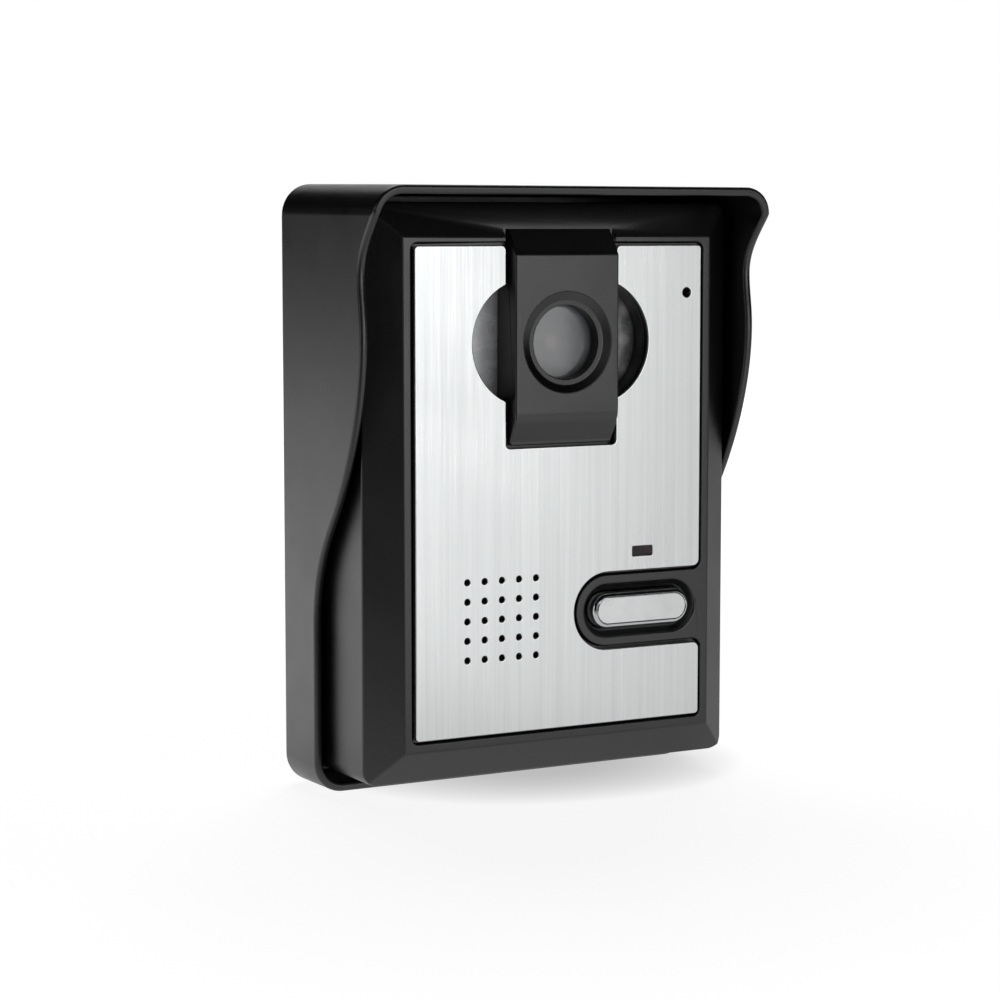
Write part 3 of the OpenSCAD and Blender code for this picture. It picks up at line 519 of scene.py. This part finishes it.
def lens_collar():
    """Sloping collar, flat ring and a sight hole that narrows to the glass."""
    slope_width = 1.9
    ring_width = 1.2
    slope_depth = 0.85
    shelf_depth = 2
    neck_wall = 0.9
    gap = 0.05
    outer = BEZEL.w / 2
    ring = outer - slope_width
    sight = ring - ring_width
    seat = GLASS.w / 2 + gap
    neck = GLASS.w / 2 + neck_wall
    front = BEZEL.y0
    flat = front + slope_depth
    shelf = front + shelf_depth
    glass_front = GLASS.y0 - gap
    feather = [Vector((outer, front + 0.03)), Vector((outer, front + 0.06))]
    profile = feather + eased([
        (outer, shelf), (neck, shelf), (neck, BEZEL.y1), (seat, BEZEL.y1), (seat, glass_front),
        (sight, glass_front), (sight, flat), (ring, flat), (outer - 0.02, front + 0.02),
    ], 0.18)
    collar = piece("lens_collar", turned(profile, (BEZEL.cx, BEZEL.cz)), "lens_bezel")
    collar.modifiers.new("flat_faces", "WEIGHTED_NORMAL")


def camera_glass():
    """Cover glass with a ground edge and a barely domed front."""
    radius = GLASS.w / 2
    dome_radius = 0.93 * radius
    rise = 0.12
    steps = 12
    ground = 0.2
    dome = [(dome_radius * k / steps, GLASS.y0 + rise * (k / steps) ** 2) for k in range(steps + 1)]
    back = GLASS.y1
    profile = dome + [
        (radius, GLASS.y0 + 2 * ground), (radius, back - ground), (radius - ground, back), (0, back),
    ]
    piece("camera_glass", turned(profile, (GLASS.cx, GLASS.cz)), "lens_glass")


# ---- Call button ----

def push_button():
    """Chromed rim round a satin face, on a flange that holds it in, with two guide posts and a stem."""
    flange_reach = 1.35
    flange_setback = 4.9
    flange_thick = 1.2
    flange_edge = 0.1
    bevel = 0.85
    groove = 0.28
    post_x = 6.5
    post_radius = 1.2
    stem_radius = 1.6
    stem_short_of_posts = 0.45
    rim = BUTTON.h / 2 - flange_reach
    half = BUTTON.w / 2 - rim - flange_reach
    flange = rim + flange_reach
    top = BUTTON.y0
    flange_front = top + flange_setback
    flange_back = flange_front + flange_thick
    groove_outer = rim - bevel + 0.02
    groove_inner = groove_outer - groove
    slope = []
    for angle in range(5, 86, 10):
        inwards = bevel * (1 - math.cos(math.radians(angle))) ** 0.8
        back = bevel * (1 - math.sin(math.radians(angle))) ** 0.8
        slope.append((rim - inwards, top + back))
    bm = bmesh.new()
    face = stack_sections(bm, half, [
        (flange - flange_edge, flange_back), (flange, flange_back - flange_edge),
        (flange, flange_front + flange_edge), (flange - flange_edge, flange_front),
        (rim, flange_front), (rim, top + bevel + 0.1),
        *slope,
        (groove_outer, top), (groove_outer - 0.03, top + groove),
        (groove_inner, top + groove), (groove_inner - 0.04, top + 0.02), (groove_inner - 0.1, top),
    ])
    for x in (-post_x, post_x):
        peg(bm, x, 0, flange_back, BUTTON.y1, post_radius)
    peg(bm, 0, 0, flange_back, BUTTON.y1 - stem_short_of_posts, stem_radius)
    bmesh.ops.recalc_face_normals(bm, faces=bm.faces)
    for f in bm.faces:
        if f.normal.y < -0.9 and abs(f.calc_center_median().y - top - groove) < 0.02:
            f.material_index = 2
    face.material_index = 1
    bmesh.ops.translate(bm, vec=(BUTTON.cx, 0, BUTTON.cz), verts=bm.verts)
    satin = plated(
        "satin_face", (0.76, 0.78, 0.78), (0.84, 0.86, 0.86), (0.28, 0.34), 0.12, (40, 1, 1), 0.0015
    )
    finishes = [FINISHES["button_chrome"], satin, FINISHES["black_plastic"]]
    button = piece("push_button", bm, "call_button", finishes)
    button.modifiers.new("flat_faces", "WEIGHTED_NORMAL")


def return_springs():
    """The two coil springs, on a mesh of their own; the real ones shorten as the button goes in."""
    springs = piece("return_springs", node_surface("button_springs"), "button_springs")
    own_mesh(springs)


brushed_sheet()
lens_collar()
camera_glass()
push_button()
return_springs()

rounded("rain_hood", 0.8)
rounded("front_housing", 0.35, under_visor)
rounded("camera_bridge", 0.45, at_collar)
rounded("rear_cover", 0.3)

for node_name, node_object in frame["nodes"].items():
    if node_object.hide_render:
        continue
    finish = FINISHES[SLOT_OF[node_name]]
    for material_slot in node_object.material_slots:
        material_slot.material = finish


# ---- Studio ----

def softbox(name, place, target, size, power):
    """A white rectangular lamp at a place, in metres, turned to face a target."""
    lamp = bpy.data.lights.new(name, "AREA")
    lamp.shape = "RECTANGLE"
    lamp.size, lamp.size_y = size
    lamp.energy = power
    made = bpy.data.objects.new(name, lamp)
    bpy.context.scene.collection.objects.link(made)
    made.location = place
    made.rotation_euler = (Vector(target) - Vector(place)).to_track_quat("-Z", "Y").to_euler()


def glow(tree, seen, reflected):
    """White light that the camera sees at one strength and the object at another."""
    path = tree.nodes.new("ShaderNodeLightPath")
    mix = tree.nodes.new("ShaderNodeMix")
    tree.links.new(path.outputs["Is Camera Ray"], mix.inputs["Factor"])
    for socket, value in ((2, reflected), (3, seen)):
        if isinstance(value, bpy.types.NodeSocket):
            tree.links.new(value, mix.inputs[socket])
        else:
            mix.inputs[socket].default_value = value
    return mix.outputs[0]


def floor_finish():
    """White that glows like a lit table, with a painted shadow in an oval under the object. Each span below
    is in metres along the floor.
    """
    finish = Finish("pale_floor", Base_Color=(0.3, 0.3, 0.3, 1), Roughness=0.9, Specular_IOR_Level=0.0)
    finish.shader.inputs["Emission Color"].default_value = (1, 1, 1, 1)
    x, y, _ = finish.place()
    length = finish.add("ShaderNodeVectorMath", operation="LENGTH")
    finish.feed(length, 0, finish.coords)
    reach = length.outputs["Value"]

    # The object reflects more light from ahead on its right and from behind, and less from ahead on its left
    spread = finish.span(reach, 0.45, 0.05, start=0.3, end=2.4)
    ahead = finish.span(y, 1, 0, start=-0.2, end=-0.09)
    ahead = finish.combine(ahead, finish.span(x, -0.36, 0.42, start=-0.06, end=0.05), "MULTIPLY")
    ahead = finish.combine(ahead, finish.span(x, 1, 0.1, start=0.07, end=0.15), "MULTIPLY")
    slant = finish.combine(y, finish.combine(x, -0.35, "MULTIPLY"))
    behind = finish.span(slant, 0, 0.58, start=-0.06, end=0.14)
    behind = finish.combine(behind, finish.span(reach, 1, 0.1, start=0.8, end=2.6), "MULTIPLY")
    reflected = finish.combine(finish.combine(finish.combine(spread, ahead), behind), 0.01, "MAXIMUM")

    # Painted shadow: the camera sees an even white that dims in an oval under the object
    oval_x, oval_y = 0.012, -0.01
    oval_w, oval_d = 0.044, 0.036
    across = finish.combine(finish.combine(finish.combine(x, -oval_x), oval_w, "DIVIDE"), 2, "POWER")
    along = finish.combine(finish.combine(finish.combine(y, -oval_y), oval_d, "DIVIDE"), 2, "POWER")
    contact_shadow = finish.span(finish.combine(across, along), 0.55, 1, start=0.1, end=1.4)
    seen = finish.combine(finish.span(reach, 0.9, 1.0, start=0.15, end=0.5), contact_shadow, "MULTIPLY")
    finish.feed(finish.shader, "Emission Strength", glow(finish.tree, seen, reflected))
    return finish.material


def pale_floor():
    """A wide floor just under the object."""
    gap = 0.0002
    bm = bmesh.new()
    bmesh.ops.create_grid(bm, x_segments=1, y_segments=1, size=4.5)
    mesh = bpy.data.meshes.new("floor")
    bm.to_mesh(mesh)
    bm.free()
    mesh.transform(Matrix.Translation((0, 0, cad_low.z - gap)))
    mesh.materials.append(floor_finish())
    floor = bpy.data.objects.new("floor", mesh)
    bpy.context.scene.collection.objects.link(floor)


def studio_world():
    """White to the eye, and a very dim even light for the object."""
    world = bpy.data.worlds.new("studio")
    bpy.context.scene.world = world
    world.use_nodes = True
    background = world.node_tree.nodes["Background"]
    background.inputs["Color"].default_value = (1, 1, 1, 1)
    strength = glow(world.node_tree, 1.0, 0.005)
    world.node_tree.links.new(strength, background.inputs["Strength"])


pale_floor()
studio_world()
softbox("front_right", place=(0.265, -0.96, 0.04), target=(0, 0, 0), size=(0.54, 0.5), power=1.82)
softbox("front_left", place=(-0.36, -1.0, 0.28), target=(0, 0, 0), size=(0.35, 0.6), power=0.21)
softbox("left_strip", place=(-1.05, -0.3, 0.1), target=(0, 0, 0), size=(0.16, 0.6), power=0.42)
softbox("right_side", place=(1.4, 0.35, 0.1), target=(0, 0, 0), size=(0.7, 0.8), power=0.19)
softbox("backdrop", place=(0.72, 1.3, 0.28), target=(0, 0, 0.05), size=(1.2, 0.5), power=2.0)
softbox("back_high", place=(0.5, 1.3, 1.9), target=(0, 0, -0.07), size=(1.6, 1.6), power=22)

CAMERA_PLACE = Vector((-0.2932, -0.5446, 0.0587))
CAMERA_HEADING = math.radians(28.84)
CAMERA_TILT = math.radians(5.94)
LENS_LENGTH = 93.96
SENSOR_WIDTH = 36

lens = bpy.data.cameras.new("camera")
lens.lens = LENS_LENGTH
lens.sensor_width = SENSOR_WIDTH
camera = bpy.data.objects.new("camera", lens)
bpy.context.scene.collection.objects.link(camera)
camera.location = CAMERA_PLACE
camera.rotation_euler = (math.radians(90) - CAMERA_TILT, 0, -CAMERA_HEADING)
bpy.context.scene.camera = camera
bpy.context.scene.view_settings.view_transform = "Standard"
